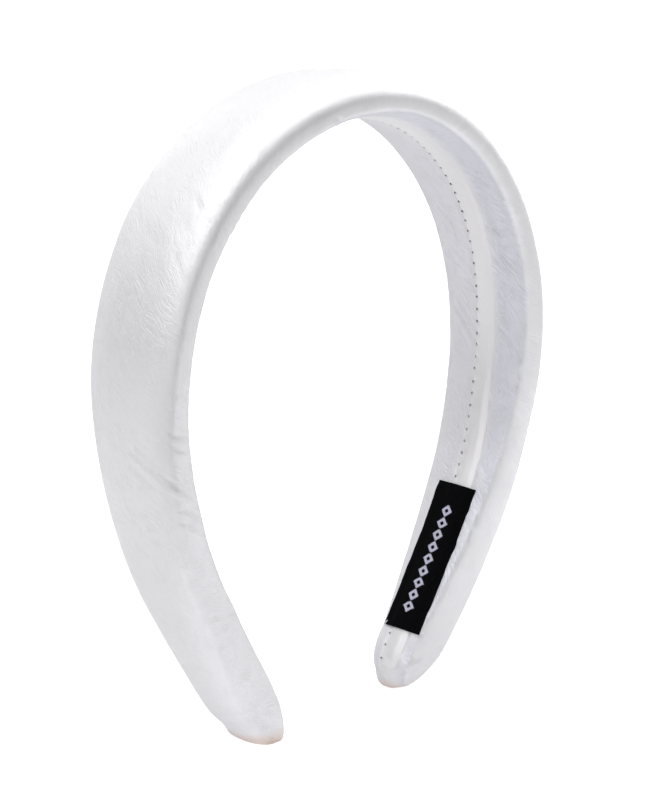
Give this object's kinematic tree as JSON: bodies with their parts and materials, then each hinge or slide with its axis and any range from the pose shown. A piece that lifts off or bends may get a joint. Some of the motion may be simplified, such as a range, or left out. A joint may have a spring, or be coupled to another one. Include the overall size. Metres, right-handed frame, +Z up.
{
  "type": "padded headband",
  "caption": "A springy padded headband covered in white satin, wide over the crown and narrow at the tips, with a lapped seam and a woven label inside, standing on its tips",
  "frame": {"origin": "On the floor, midway between the two feet and midway between the front and rear edges", "axes": "+Z up through the crown, X from the left tip to the right tip, which carries the label, -Y to the front of the wearer"},
  "size_m": [0.134, 0.0326, 0.1565],
  "materials": {
    "satin": "white satin with fine creases, soft sheen",
    "label_tape": "fine black woven tape"
  },
  "bodies": {
    "root": {"padded_cover": "satin", "seam_lap": "satin", "woven_label": "label_tape"}
  },
  "joints": []
}
